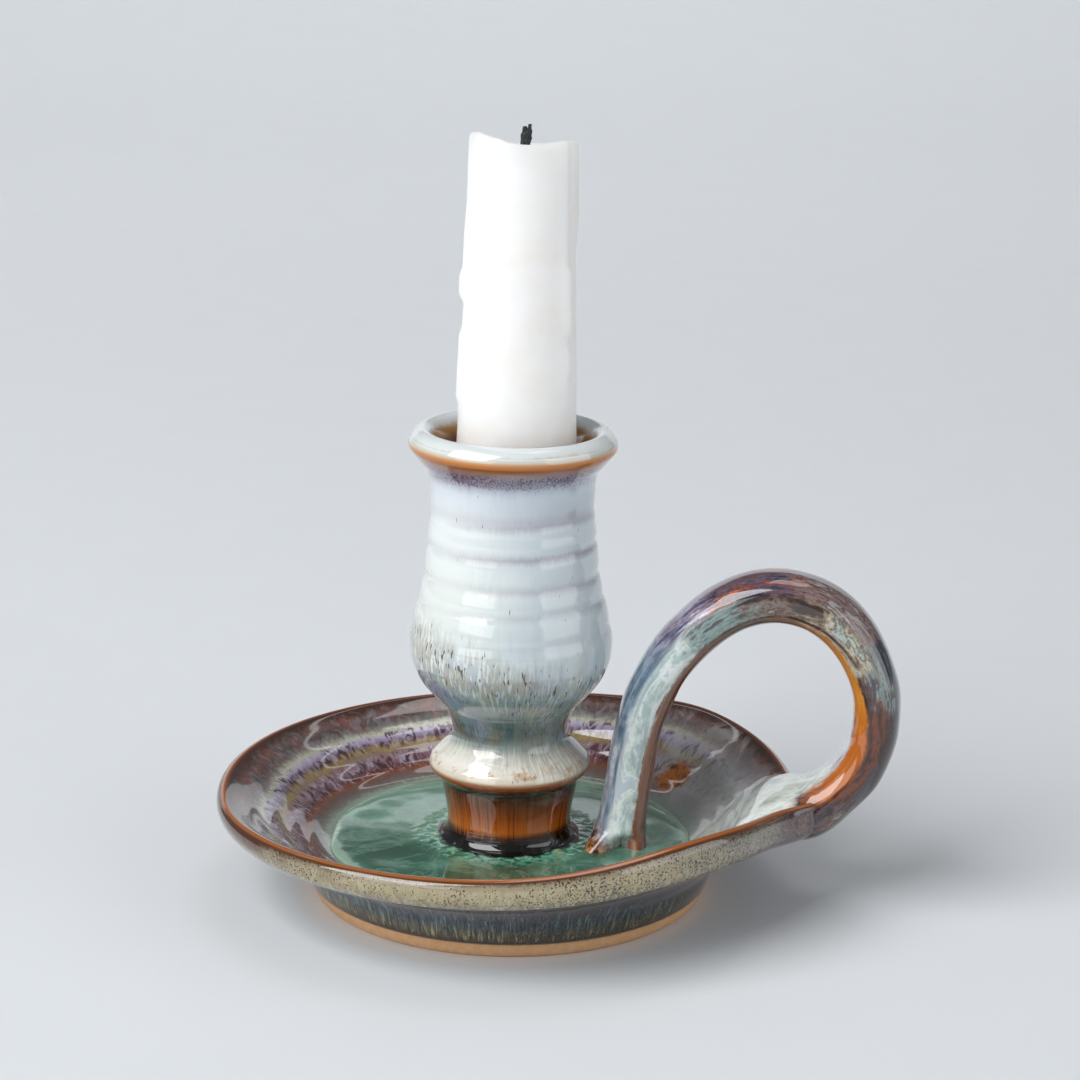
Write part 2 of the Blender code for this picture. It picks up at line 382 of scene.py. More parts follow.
def bent_tray(radius, height, angle, inside):
    """The thrown shape after the rim was pulled up beside the handle."""
    plain = height
    share = np.where(
        radius > SLOPE_START_R, np.clip((plain - WELL_Z) / (RIM_Z - WELL_Z), 0.0, 1.0), 0.0
    )
    height = height + rim_lift(angle) * share + np.where(inside, throwing_ridges(radius, angle), 0.0)
    stretch = 1.0 + RIM_STRETCH * share * ((1.0 - np.cos(angle)) / 2) ** 2
    wobble = 0.10 * np.sin(3 * angle + 1.0) + 0.07 * np.sin(5 * angle)
    spur = SPUR_REACH * turn_hump(angle, SPUR_TURN, SPUR_WIDTH) * share
    web = turn_hump(angle, WEB_TURN, WEB_WIDTH) * rise(plain, 8.0, 14.0) * rise(plain, 20.5, 17.0) * ~inside
    radius = (radius + wobble * share) * stretch + spur + WEB_REACH * web
    height = height - WEB_DROP * web
    return turned_points(radius, angle, height)


def make_tray(finish):
    well = through([(0.3, WELL_Z), (15.0, WELL_Z), (31.0, 8.9)], 1.5)
    inside = joined(well, TRAY_INSIDE)
    outline = joined(inside, TRAY_LIP, TRAY_WALL, TRAY_FOOT, FOOT_RECESS)
    radius, height, angle = turned_rings(outline, steps=360)
    is_inside = (np.arange(len(outline)) < len(inside))[:, None]
    points = bent_tray(radius, height, angle, is_inside)
    # Inside the tray, the band is the radius less the drift of its rings.
    run = run_along(outline)
    marks = np.cumsum([len(part) - 1 for part in (inside, TRAY_LIP, TRAY_WALL, TRAY_FOOT)])
    past_crest = np.interp(run, [run[mark] for mark in marks], [RIM_R, *BAND_MARKS])
    drift = spiral_drift(angle) * rise(outline[:, 0:1], 34.0, 40.0) * rise(outline[:, 0:1], 52.0, 49.0)
    band = np.where(is_inside, radius - drift, past_crest[:, None])
    piece = grid_mesh("thrown_drip_tray", points, turned_surface(angle, band))
    return place(piece, "holder", "drip_tray", finish)


def tray_slope(f, at, n, to_right):
    """The inner slope: ringed glazes, brown and violet away from the handle and grey close to it."""
    # The bands stay crisp at the rim and run together elsewhere.
    calm = f.mask(at.band, [(50.5, 1), (52.4, 0.005), (54, 0.005), (55, 0.216), (62, 1)])
    swing = f.wander(0.0, (n.streaks, 2.0), (n.clouds, 2.2), (n.mottle, 1.6))
    ragged = f.math("ADD", at.band, f.times(swing, calm))
    left = f.ramp(ragged, [
        (30, "3f4a42"), (34.5, "8c9a8c"), (35.8, "73706a"), (37.2, "6e5a55"), (38.6, "7e4628"),
        (39.8, "6e4a50"), (41.4, "8f7684"), (42.8, "8c7564"), (43.6, "a38d58"), (44.4, "7f6c78"),
        (45.4, "a79cba"), (46.6, "c0bfae"), (47.6, "85837c"), (48.8, "5d4f4e"), (50.2, "6d5650"),
        (51.4, "4a2c22"), (52.4, "3c2017"), (53, "8c4a20"), (53.5, "a9632c"), (53.9, "54280f"),
        (54.4, "5a4026"),
    ])
    right = f.ramp(ragged, [
        (30, "4a5a55"), (35, "93a299"), (37, "a9aba9"), (40, "bcbbba"), (42.5, "a4a5a5"),
        (44.5, "c4c6c8"), (46.6, "b3adb1"), (49.4, "94807e"), (50.7, "6a4436"), (51.7, "472618"),
        (52.4, "402118"), (53, "8c4a20"), (53.5, "a9632c"), (53.9, "54280f"), (54.4, "5a4030"),
    ])
    glaze = f.mix(left, right, to_right)
    # Rosy iron patches and slate clouds drift over the rings.
    on_slope = f.mask(at.band, [(36, 0), (39, 0.216), (47, 0.279), (50, 1), (52.6, 0)])
    rosy = f.times(f.step(n.patches, 0.53, 0.62), on_slope)
    rosy_share = f.math("SUBTRACT", 0.65, f.times(to_right, 0.4))
    glaze = f.over(glaze, "8a5145", rosy, rosy_share)
    slate = f.times(f.step(n.patches, 0.45, 0.37), on_slope)
    glaze = f.over(glaze, "6f7f80", slate, 0.55)
    # Iron shows through as short dashes where the glaze ran thin between the ridges.
    in_dash_rings = f.mask(at.band, [
        (38, 0), (39.5, 1), (41.8, 1), (42.8, 0.014), (44, 1), (46, 1), (46.8, 0.014), (48.4, 0.352),
        (51, 0.216), (52.2, 0),
    ])
    dash_strength = f.times(in_dash_rings, f.math("SUBTRACT", 1.0, f.times(to_right, 0.75)))
    dash = f.times(f.step(n.dashes, 0.52, 0.6), dash_strength)
    glaze = f.over(glaze, "3d1d24", dash, 0.8)
    pale_dash = f.times(f.step(n.dashes, 0.46, 0.39), dash_strength)
    glaze = f.over(glaze, "bfb9d0", pale_dash, 0.45)
    # Smoky swirls, and one amber patch, near the handle.
    swirl = f.noise(at.spot, distortion=2.6, scale=0.07)
    smoke = f.times(to_right, on_slope, f.step(swirl, 0.5, 0.58))
    glaze = f.over(glaze, "7a7276", smoke, 0.55)
    wisps = f.times(to_right, on_slope, f.step(swirl, 0.46, 0.39))
    glaze = f.over(glaze, "cdcfce", wisps, 0.6)
    amber_at = f.node(
        "ShaderNodeVectorMath", {0: at.spot, 1: AMBER_PATCH_MM}, output="Value", operation="DISTANCE"
    )
    amber = f.step(f.wander(amber_at, (n.clouds, 6.0), (n.mottle, 4.0)), 5.0, 2.4)
    return f.mix(glaze, f.ramp(n.mottle, [(0.38, "5a2f1c"), (0.52, "b0641a")]), amber)


def tray_lip(f, at, n, towards, to_right):
    """The bands outside the crest, and the speckled lip: pale, brown away from the handle, and grey with
    painted shade towards it.
    """
    on_lip = f.ramp(f.wander(at.band, (n.streaks, 0.9), (n.mottle, 0.5)), [
        (54, "5c4028"), (54.6, "9c917a"), (55.4, "aea27e"), (57, "a69a70"), (58.4, "867a4a"),
        (59.4, "7a6a4c"), (60.1, "582818"), (60.8, "3a3030"), (62, "2a3236"), (65.5, "34434c"),
        (69, "434c60"), (72.4, "4a5660"), (74.2, "66624a"), (75, "54492e"), (75.7, "281c12"),
    ])
    # Towards the handle the lip turns grey: partly the glaze's colour, and partly painted shade on the side
    # turned from the key light.
    grey_shaded_lip_colour = f.ramp(
        at.band, [(54, "5c4028"), (55, "74736c"), (58.6, "766e68"), (60.2, "45261e"), (61.4, "272b2f")]
    )
    grey_shaded_lip = f.times(
        f.step(f.wander(towards, (n.clouds, 0.6)), 0.15, 0.7), f.step(at.band, 61.4, 60.0)
    )
    on_lip = f.over(on_lip, grey_shaded_lip_colour, grey_shaded_lip, 0.85)
    left_brown = f.times(
        f.step(f.wander(towards, (n.clouds, 0.7)), -0.45, -0.8), f.step(at.band, 57.4, 55.4)
    )
    on_lip = f.mix(on_lip, "4d2c1c", left_brown)
    pepper = f.noise(at.spot, detail=2.0, scale=2.9)
    peppered = f.mask(
        at.band, [(54.4, 0), (55.4, 0.117), (57.6, 0.352), (59.6, 1), (61, 0.03), (75, 0.03)]
    )
    push = f.math("ADD", f.times(peppered, 0.09), f.times(to_right, 0.03))
    push = f.wander(push, (n.streaks, 0.3), (n.clouds, 0.2))
    tints = f.ramp(
        f.wander(n.patches, (n.mottle, 0.5)), [(0.4, "86707a"), (0.5, "b9b4a4"), (0.6, "857f48")]
    )
    on_lip = f.over(on_lip, tints, peppered, 0.6)
    # Olive and rust strokes hang down the lip.
    strokes = f.streaked(75.0, 0.6, roughness=0.65)
    stroke_colour = f.ramp(
        f.wander(n.clouds, (n.mottle, 0.8)), [(0.42, "58501f"), (0.52, "8a5a24"), (0.6, "64301a")]
    )
    on_lip = f.over(on_lip, stroke_colour, f.step(strokes, 0.5, 0.57), peppered)
    on_lip = f.over(on_lip, "dedac8", f.step(strokes, 0.46, 0.38), peppered, 0.7)
    dots = f.step(f.math("ADD", pepper, push), 0.59, 0.64)
    on_lip = f.over(on_lip, "2c221e", dots, 0.9)
    # Close to the strap the lip takes on the strap's own colours.
    near_strap = f.step(f.wander(at.across, (n.mottle, 0.09)), 0.935, 0.972)
    strap_colour = f.ramp(n.mottle, STRAP_FOOT_PALETTE)
    return f.over(on_lip, strap_colour, near_strap, 0.95)


def tray_wall(f, at, outside, to_right):
    """The slate wall of the foot, with drips that turn from blue to cream on the way down, and painted
    shade on the side towards the handle.
    """
    drips = f.streaked(80.0, 0.3, detail=4.0, roughness=0.6, distortion=0.7)
    on_wall = f.mask(at.band, [(60.5, 0), (62.5, 1), (74.6, 1), (75.7, 0)])
    outside = f.over(outside, "232b30", f.step(drips, 0.5, 0.6), on_wall, 0.9)
    pale_drips = f.times(f.step(drips, 0.45, 0.36), on_wall)
    pale_colour = f.ramp(
        at.band, [(62, "5c6a7a"), (69, "5f8796"), (72.4, "74a29c"), (73.8, "9a9a74"), (75, "c4b88e")]
    )
    outside = f.over(outside, pale_colour, pale_drips, 0.7)
    # Painted shade: the wall darkens on the side towards the handle, away from the key light.
    return f.over(outside, "14181a", to_right, on_wall, 0.45)


def tray_finish():
    f = Finish("tray_glaze")
    at = f.places()
    n = SimpleNamespace(
        streaks=f.streaked(40.0, 0.5, detail=4.0, roughness=0.62, distortion=0.5),
        dashes=f.streaked(30.0, 0.5, roughness=0.6, distortion=0.8),
        clouds=f.noise(at.spot, scale=0.1),
        patches=f.noise(at.spot, detail=4.0, roughness=0.6, distortion=1.5, scale=0.12),
        mottle=f.noise(at.spot, detail=5.0, roughness=0.65, scale=0.8),
    )
    towards = f.math("ADD", f.times(at.across, 0.8), f.times(at.along, 0.25))
    near_right = f.math("SUBTRACT", towards, f.times(at.along, 0.5))
    to_right = f.step(f.wander(near_right, (n.clouds, 0.8)), 0.12, 0.6)
    outside = tray_wall(f, at, tray_lip(f, at, n, towards, to_right), to_right)
    glaze = f.mix(tray_slope(f, at, n, to_right), outside, f.step(at.band, 53.8, 54.3))
    clay = f.step(at.band, 75.7, 76.3)
    glaze = f.mix(glaze, f.ramp(n.mottle, [(0.3, "d0a278"), (0.7, "deb58b")]), clay)
    f.glazed(f.math("SUBTRACT", 1.0, clay))
    roughness = f.math("ADD", f.times(clay, 0.7), f.times(n.mottle, 0.16))
    relief = f.wander(f.times(n.streaks, 0.5), (n.mottle, 0.5))
    return f.done(base=glaze, roughness=roughness, normal=f.bump(relief, 0.14, 0.0003))


# ---- Candle socket ----

GROOVES = ((74.2, 0.2, 1.3), (68.0, 0.3, 1.0), (62.0, 0.3, 1.0), (57.4, 0.26, 1.0), (51.8, 0.18, 1.2))
LIP_CREST_Z = 89.4


def make_socket(finish):
    bore = joined(
        through([(0.3, 41.0), (11.2, 41.0), (11.9, 41.2), (12.1, 42.0), (12.2, 55.0)], 1.0),
        through(
            [(12.2, 55.0), (12.5, 68.0), (12.9, 77.0), (13.5, 83.0), (14.6, 87.0), (15.6, 88.8)], 0.6
        ),
    )
    lip = through(
        [(15.6, 88.8), (16.7, LIP_CREST_Z), (18.2, 88.8), (19.2, 87.4), (19.3, 86.0), (18.6, 84.9)], 0.3
    )
    neck = through(
        [(18.6, 84.9), (17.4, 83.4), (15.9, 81.6), (15.4, 79.4), (15.3, 75.7), (15.4, 71.8)], 0.35
    )
    belly = through(
        [
            (15.4, 71.8), (15.8, 69.0), (16.1, 65.5), (16.5, 61.5), (17.2, 58.3), (18.1, 54.6),
            (18.9, 50.5), (19.0, 48.0), (18.6, 44.8), (17.1, 41.5), (14.7, 38.5), (12.6, 36.3),
        ],
        0.4,
    )
    waist = through(
        [(12.6, 36.3), (11.5, 34.0), (10.85, 31.4), (11.3, 29.4), (13.1, 27.6), (14.8, 25.9)], 0.3
    )
    collar = through(
        [(14.8, 25.9), (15.25, 24.6), (15.0, 23.6), (14.2, 22.9), (13.3, 22.3), (12.9, 21.6)], 0.25
    )
    spool = through([(12.9, 21.6), (12.7, 19.8), (12.0, 16.5), (11.7, 13.8), (11.75, 12.6)], 0.3)
    melt = through(
        [(11.75, 12.6), (12.0, 11.6), (12.5, 10.8), (13.0, 10.45), (13.4, 10.1), (13.5, 9.5)], 0.2
    )
    base = through([(13.5, 9.5), (6.0, 9.3), (0.3, 9.3)], 2.0)
    outline = joined(bore, lip, neck, belly, waist, collar, spool, melt, base)
    radius, height, angle = turned_rings(outline, steps=288)
    outside = (np.arange(len(outline)) > len(bore) + len(lip) // 2)[:, None]
    drift = 0.45 * np.sin(angle + 2.1) + 0.2 * np.sin(2 * angle + 0.4)
    cut = sum(depth * hump(height, at + drift, width) for at, depth, width in GROOVES)
    swell = 0.09 * np.sin(2 * angle + 0.8) + 0.05 * np.sin(3 * angle)
    radius = radius + np.where(outside, swell * rise(radius, 8.0, 12.0) - cut, 0.0)
    tilt = 0.25 * np.cos(angle - 2.6) * rise(height, 78.0, 86.0)
    points = turned_points(radius, angle, height + tilt)
    # Outside, the band is the height; inside the mouth it goes on above the crest, down the bore.
    band = np.where(outside[:, 0], outline[:, 1], 2 * LIP_CREST_Z - outline[:, 1])
    piece = grid_mesh("thrown_candle_socket", points, turned_surface(angle, band[:, None]))
    return place(piece, "holder", "candle_socket", finish)


def socket_bands(f, at, n):
    """The rings of colour from the melt at the foot up to the lip, and down into the mouth."""
    # The lines on the lip and the collar are crisp, and those between them have run.
    calm = f.mask(at.band, [(22, 0.03), (25.6, 0.03), (28, 1), (79, 1), (84, 0.03)])
    swing = f.wander(0.0, (n.streaks, 1.8), (n.clouds, 1.4), (n.mottle, 0.7))
    outside = f.ramp(f.math("ADD", at.band, f.times(swing, calm)), [
        (9.5, "090706"), (12.2, "0e0807"), (12.9, "3a1a0b"), (14, "c0620f"), (17, "984610"),
        (20.4, "5a2c12"), (21.9, "2c1912"), (22.7, "8a3a10"), (24, "9c4614"), (24.5, "aa7c50"),
        (25, "ded6c4"), (27, "f0ede3"), (28.8, "dadad0"), (30.4, "8e9c98"), (32, "56625c"),
        (34, "3a463c"), (37.5, "93a39c"), (41.5, "d0dcd9"), (46, "dfe7e5"), (52, "e2e9e6"),
        (62, "e6ece9"), (74, "e3e9ea"), (79.6, "d8e0e8"), (81.2, "bcbecb"), (82.4, "9787a0"),
        (83.8, "96808e"), (84.9, "a5785c"), (85.5, "9a540a"), (86.6, "c6781c"), (87.1, "d0cbb8"),
        (88.2, "dfe6ea"),
    ])
    mouth = f.ramp(f.wander(at.band, (n.clouds, 1.4), (n.mottle, 0.8)), [
        (90.6, "dde3e3"), (91.6, "bb8c50"), (93.6, "7a4526"), (97, "40262c"), (112, "2a1a1a"),
    ])
    glaze = f.mix(outside, mouth, f.step(at.band, 88.8, 90.0))
    # The side away from the handle is creamy and the side towards it is bluish grey: partly the glaze's
    # colour, and partly painted shade on the side turned from the key light.
    on_wall = f.mask(at.band, [(26, 0), (40, 1), (80, 1), (86, 0)])
    blue_and_shade = f.times(f.step(f.wander(at.across, (n.clouds, 0.8), (n.streaks, 0.5)), -0.5, 0.6), on_wall)
    return f.over(glaze, "b7c9d6", blue_and_shade, 0.55)


def lavender_grooves(f, at, n, glaze):
    """Lavender where the glaze pooled in the throwing grooves."""
    in_grooves = f.mask(f.wander(at.band, (n.clouds, 0.8), (n.fine, 0.9)), [
        (50, 0), (51.8, 0.08), (53.2, 0), (56.2, 0), (57.4, 0.279), (58.6, 0), (60.8, 0), (62, 0.434),
        (63.2, 0), (66.8, 0), (68, 0.745), (69, 0), (72.8, 0), (74, 0.631), (76.4, 0.216), (79.6, 0),
    ])
    lilac_reach = f.step(f.wander(at.across, (n.clouds, 1.2)), -0.9, 0.5, 0.25, 1.0)
    return f.over(glaze, "948799", in_grooves, lilac_reach, 0.85)


def belly_runs(f, at, n, glaze):
    """A slanting run of ochre, teal and brown low on the belly, higher away from the handle."""
    slant = f.math("ADD", at.band, f.times(at.across, 5.5))
    in_run = f.mask(f.wander(slant, (n.streaks, 10.0), (n.clouds, 6.0)), [
        (26, 0), (31, 0.434), (36, 0.392), (42, 0.631), (47.5, 0.434), (52, 0),
    ])
    run_colour = f.ramp(f.wander(n.clouds, (n.fine, 0.6), (n.mottle, 0.3)), [
        (0.34, "2f444a"), (0.44, "5d7a78"), (0.51, "9a7f3a"), (0.57, "5c3f1c"), (0.66, "8d9fb4"),
    ])
    glaze = f.over(glaze, run_colour, in_run, f.step(n.fine, 0.34, 0.52))
    # Broad soft teal runs over the belly, except on the side away from the handle.
    runs = f.streaked(9.0, 0.07, roughness=0.55)
    run_zone = f.mask(at.band, [(30, 0.117), (38, 1), (50, 0.352), (58, 0.03), (66, 0)])
    teal_runs = f.times(f.step(runs, 0.46, 0.62), run_zone, f.step(at.across, -0.9, -0.2))
    glaze = f.over(glaze, "8aa5a4", teal_runs, 0.4)
    blue_pool = f.times(f.step(slant, 31.0, 35.0), f.step(slant, 42.0, 38.0))
    blue_pool = f.times(blue_pool, f.step(at.across, 0.0, -0.5))
    glaze = f.over(glaze, "828ba8", blue_pool, f.step(n.fine, 0.66, 0.46))
    # Short dark flecks that run down the wall.
    fleck_noise = f.streaked(40.0, 0.45, detail=1.0)
    fleck_zone = f.mask(f.wander(slant, (n.clouds, 8.0)), [
        (26, 0), (30, 0.117), (38, 0.527), (48, 1), (53, 0.08), (60, 0.014), (90, 0.03),
    ])
    fleck_push = f.math("ADD", fleck_noise, f.times(fleck_zone, 0.15))
    fleck_colour = f.ramp(n.clouds, [(0.4, "27343a"), (0.5, "4a3a22"), (0.6, "263438")])
    flecks = f.times(f.step(fleck_push, 0.765, 0.82), f.step(at.band, 86.0, 84.0))
    return f.over(glaze, fleck_colour, flecks, 0.85)


def hanging_fringe(f, at, n, glaze):
    """A fringe of dark specks that hangs from the amber line."""
    specks = f.streaked(46.0, 2.0, roughness=0.7)
    fringe = f.mask(f.wander(at.band, (n.streaks, 2.0)), [
        (78.4, 0), (80.4, 0.08), (81.4, 0.631), (83.4, 1), (84.8, 0.117), (86.6, 0.03), (87, 0),
    ])
    specks = f.step(f.math("ADD", specks, f.times(fringe, 0.12)), 0.58, 0.65)
    return f.over(glaze, "35222e", specks, fringe, 0.78)


def collar_and_spool(f, at, n, glaze):
    """Ochre blotches on the collar, dark threads down the amber spool, and painted light on the spool's
    side away from the handle.
    """
    collar = f.mask(at.band, [(25.2, 0), (25.9, 1), (27.2, 0.352), (29.5, 0)])
    blotches = f.noise(at.spot, detail=5.0, roughness=0.7, scale=0.35)
    blotched = f.times(f.step(blotches, 0.5, 0.6), collar)
    glaze = f.over(glaze, "b8884e", blotched, 0.7)
    glaze = f.over(glaze, "a05c22", f.step(n.mottle, 0.54, 0.62), blotched, 0.8)
    spool = f.mask(at.band, [(12, 0), (12.8, 1), (20.5, 1), (22, 0)])
    threads = f.streaked(30.0, 0.05, roughness=0.7)
    glaze = f.over(glaze, "2a1109", f.step(threads, 0.52, 0.66), spool, 0.7)
    # Painted light: the amber brightens on the spool's side away from the handle, which faces the key
    # light.
    lit_side_amber = f.times(f.step(f.wander(at.across, (n.clouds, 0.8)), 0.3, -0.7), spool)
    return f.over(glaze, "b4641f", f.step(threads, 0.52, 0.36), lit_side_amber, 0.75)


def socket_finish():
    f = Finish("socket_glaze")
    at = f.places()
    n = SimpleNamespace(
        streaks=f.streaked(19.0, 0.16, roughness=0.6),
        fine=f.streaked(34.0, 0.34, detail=2.0),
        clouds=f.noise(at.spot, detail=2.0, scale=0.11),
        mottle=f.noise(at.spot, detail=4.0, roughness=0.6, scale=1.1),
    )
    glaze = socket_bands(f, at, n)
    for layer in (lavender_grooves, belly_runs, hanging_fringe, collar_and_spool):
        glaze = layer(f, at, n, glaze)
    relief = f.wander(f.times(n.streaks, 0.4), (n.mottle, 0.5))
    f.glazed()
    return f.done(base=glaze, roughness=f.times(n.mottle, 0.18), normal=f.bump(relief, 0.07, 0.0003))


# ---- Glass pool ----

SHORE_R = 34.6


def make_pool(finish):
    top = through(
        [(12.0, 10.3), (13.4, 10.25), (16.0, 10.05), (24.0, 9.95), (31.0, 9.98), (33.4, 9.95)], 0.3
    )
    edge = through([(33.4, 9.95), (34.3, 9.85), (SHORE_R, 9.5), (34.4, 9.2)], 0.2)
    under = through([(34.4, 9.2), (24.0, 9.15), (12.0, 9.15)], 2.0)
    outline = joined(top, edge, under)
    wall = through([(12.0, 9.15), (12.0, 9.7), (12.0, 10.3)], 0.5)[1:-1]
    outline = np.vstack([outline, wall])
    radius, height, angle = turned_rings(outline, steps=288)
    reach = rise(radius, 20.0, 33.0)
    shore = 0.7 * np.sin(2 * angle + 0.5) + 0.35 * np.sin(5 * angle + 1.3) + 0.2 * np.sin(11 * angle)
    radius = radius + (shore - 0.9) * reach
    x, y = radius * np.cos(angle), radius * np.sin(angle)
    on_top = (np.arange(len(outline)) < len(top))[:, None]
    crust = 0.35 * hump(radius, 16.0, 1.4) * np.clip(roughened(x, y, 0 * x, 1.3) + 0.35, 0.0, 1.0)
    ripple = 0.015 * roughened(x, y, 0 * x, 5.0, seed=7.0)
    height = height + np.where(on_top, crust + ripple, 0.0)
    points = np.stack([x, y, height], axis=-1)
    piece = grid_mesh("melted_glass_pool", points, turned_surface(angle, radius), poles=False)
    return place(piece, "holder", "glass_pool", finish)


def pool_finish():
    f = Finish("green_glass")
    at = f.places()
    depths = f.noise(at.spot, detail=4.0, roughness=0.55, distortion=0.5, scale=0.11)
    veins = f.noise(at.spot, distortion=2.0, scale=0.08)
    grain = f.noise(at.spot, scale=0.65)
    glass = f.ramp(depths, [(0.34, "22503f"), (0.46, "2d634d"), (0.55, "3c755d"), (0.66, "5f947c")])
    vein = f.times(f.step(veins, 0.52, 0.56), f.step(veins, 0.62, 0.57))
    glass = f.over(glass, "8fb7a3", vein, 0.22)
    # The glass is milkier away from the front.
    milky = f.step(f.wander(at.along, (veins, 1.2), (depths, 1.0)), -0.75, 0.25)
    glass = f.over(glass, "8db5a1", milky, 0.5)
    edge = f.wander(at.band, (veins, 3.5), (grain, 1.8))
    shore = f.mask(edge, [(31.2, 0), (32.4, 0.117), (33.2, 1), (36, 1)])
    glass = f.over(glass, "a3bfac", shore, 0.85)
    # Crystals round the socket, thickest at the front.
    reach = f.step(at.along, 0.6, -0.8)
    crust = f.mask(edge, [(12.8, 0), (13.6, 0.352), (14.4, 1), (16.2, 0.434), (19.5, 0)])
    crust = f.times(crust, f.math("ADD", f.times(reach, 0.6), 0.4))
    crystals = f.ramp(f.wander(grain, (veins, 0.4)), [
        (0.34, "12402f"), (0.45, "2f7a5a"), (0.52, "7cc4a4"), (0.58, "5fb0ac"), (0.64, "b9c47e"),
    ])
    glass = f.over(glass, crystals, crust, f.step(grain, 0.36, 0.5))
    glass = f.mix(glass, "0f0b0a", f.step(edge, 14.2, 13.2))
    relief = f.times(grain, f.math("ADD", crust, 0.02))
    f.glazed()
    return f.done(base=glass, roughness=0.06, normal=f.bump(relief, 0.5, 0.0004))


# ---- Loop handle ----

# The strap's middle line: distance from the axis, height, thickness and width.
STRAP = (
    (21.0, 7.2, 11.4, 14.6),
    (21.2, 10.4, 10.6, 13.6),
    (21.8, 14.4, 9.4, 12.0),
    (22.6, 20.0, 8.8, 11.4),
    (24.0, 30.0, 8.8, 11.6),
    (26.5, 39.4, 9.1, 12.2),
    (30.8, 47.5, 9.3, 12.8),
    (36.4, 53.8, 9.5, 13.2),
    (42.7, 58.1, 9.6, 13.4),
    (49.6, 59.8, 9.6, 13.4),
    (56.4, 58.6, 9.6, 13.4),
    (62.1, 54.7, 9.4, 13.2),
    (66.3, 48.8, 9.0, 13.0),
    (68.8, 41.6, 8.8, 13.0),
    (68.6, 34.2, 8.9, 13.4),
    (66.1, 27.5, 9.2, 14.4),
    (61.8, 22.4, 9.5, 15.8),
    (57.2, 19.2, 10.7, 17.8),
    (52.6, 18.6, 9.8, 22.0),
    (48.0, 18.2, 6.4, 27.0),
    (43.0, 14.6, 4.8, 25.0),
    (38.5, 11.2, 3.4, 17.0),
    (35.0, 9.4, 2.4, 7.0),
)
# Distances from the axis where the strap starts to flatten and is flat, and the tail's sideways shift.
TAIL_STARTS = 54.0
TAIL_FLAT = 40.0
TAIL_SKEW = 0.8
STRAP_STEPS = 72
# The section is a rounded box, squarer at lower powers: through the strap and across it.
SECTION_POWERS = (0.80, 0.86)
# The foot's length, and the turn and width, in degrees round the section, of its arch and toes.
FOOT_RUN = 20.0
ARCH, NEAR_TOE, FAR_TOE = (-104, 19), (-52, 26), (-146, 24)


def make_handle(finish):
    line = through(STRAP, 0.45)
    around = np.linspace(0.0, 2 * math.pi, STRAP_STEPS, endpoint=False)
    ahead = np.gradient(line[:, :2], axis=0)
    ahead /= np.linalg.norm(ahead, axis=1, keepdims=True)
    outward = np.column_stack([-ahead[:, 1], ahead[:, 0]])
    run = run_along(line)
    # The section: 0 is the strap's outer side, and a quarter turn each way is its edge.
    c, s = np.cos(around), np.sin(around)
    through_section = np.sign(c) * np.abs(c) ** SECTION_POWERS[0]
    across_section = np.sign(s) * np.abs(s) ** SECTION_POWERS[1]
    thick = line[:, 2:3] / 2 * through_section
    x = line[:, 0:1] + outward[:, 0:1] * thick
    z = line[:, 1:2] + outward[:, 1:2] * thick
    y = line[:, 3:4] / 2 * across_section
    # The foot is split into two toes that splay on the near side, under a small arch.
    at_foot = run[:, None] < FOOT_RUN
    low = rise(z, 14.0, 9.0) * at_foot
    arch = turn_hump(around, *ARCH) * rise(z, 13.4, 10.6) * at_foot
    toes = 0.42 * turn_hump(around, *NEAR_TOE) + 0.14 * turn_hump(around, *FAR_TOE) + 0.04
    spread = 1.0 + toes * low - 0.62 * arch
    x = line[:, 0:1] + (x - line[:, 0:1]) * spread
    y = y * spread
    # The tail is smeared down the tray's slope, and its edges feather into it.
    over_rim = run[:, None] > run[-1] / 2
    flat = rise(line[:, 0:1], TAIL_STARTS, TAIL_FLAT) * over_rim
    tail_x = line[:, 0:1] + 0 * y
    tail_y = y + TAIL_SKEW * rise(line[:, 0:1], 52.0, 44.0)
    crown = 2.0 * rise(line[:, 0:1], 34.5, 50.0) + 0.15
    upper = (c < 0)[None, :]
    bare = tray_top(tail_x, tail_y)
    body = crown * (1.0 - np.clip(np.abs(s), 0.0, 1.0) ** 2) ** 1.2
    tail_z = np.where(upper, bare + body - 0.12, bare - 0.35 - 0.4 * np.abs(c))
    x = x + (tail_x - x) * flat
    y = y + (tail_y - y) * flat
    z = z + (tail_z - z) * flat
    lumps = roughened(x, y, z, 7.0, seed=3.0)
    swell = 0.16 * lumps * (1.0 - flat)
    x = x + swell * outward[:, 0:1] * through_section
    z = z + swell * outward[:, 1:2] * through_section
    points = np.stack([x, y, z], axis=-1)[:, ::-1]
    length = np.broadcast_to(run[:, None], x.shape)
    surface = np.stack([c + 0 * x, s + 0 * x, length], axis=-1)[:, ::-1]
    return place(grid_mesh("pulled_loop_handle", points, surface), "holder", "loop_handle", finish)


# Marbled palettes along the strap: the length from which each one holds, and its colours.
OUTER_ZONES = (
    (0, [(0.34, "5a7084"), (0.44, "7c90a2"), (0.52, "96a5b6"), (0.6, "a4a2b0"), (0.68, "c3ced6")]),
    (42, [(0.34, "4a4c64"), (0.43, "7c7590"), (0.5, "a29cb4"), (0.57, "6a4a58"), (0.66, "c4bdcc")]),
    (54, [(0.34, "2a2632"), (0.43, "4c4052"), (0.5, "6c5864"), (0.57, "5a2c22"), (0.66, "a4573a")]),
    (68, [(0.34, "3a2a2c"), (0.44, "68504e"), (0.52, "8c7a78"), (0.58, "5a3832"), (0.68, "9a9698")]),
    (84, [(0.34, "2c343e"), (0.44, "4c5861"), (0.52, "57504e"), (0.6, "8d9894"), (0.68, "3c4654")]),
    (96, [(0.34, "17151a"), (0.46, "2c2424"), (0.54, "3c1e14"), (0.64, "44464e")]),
    (114, STRAP_FOOT_PALETTE),
)
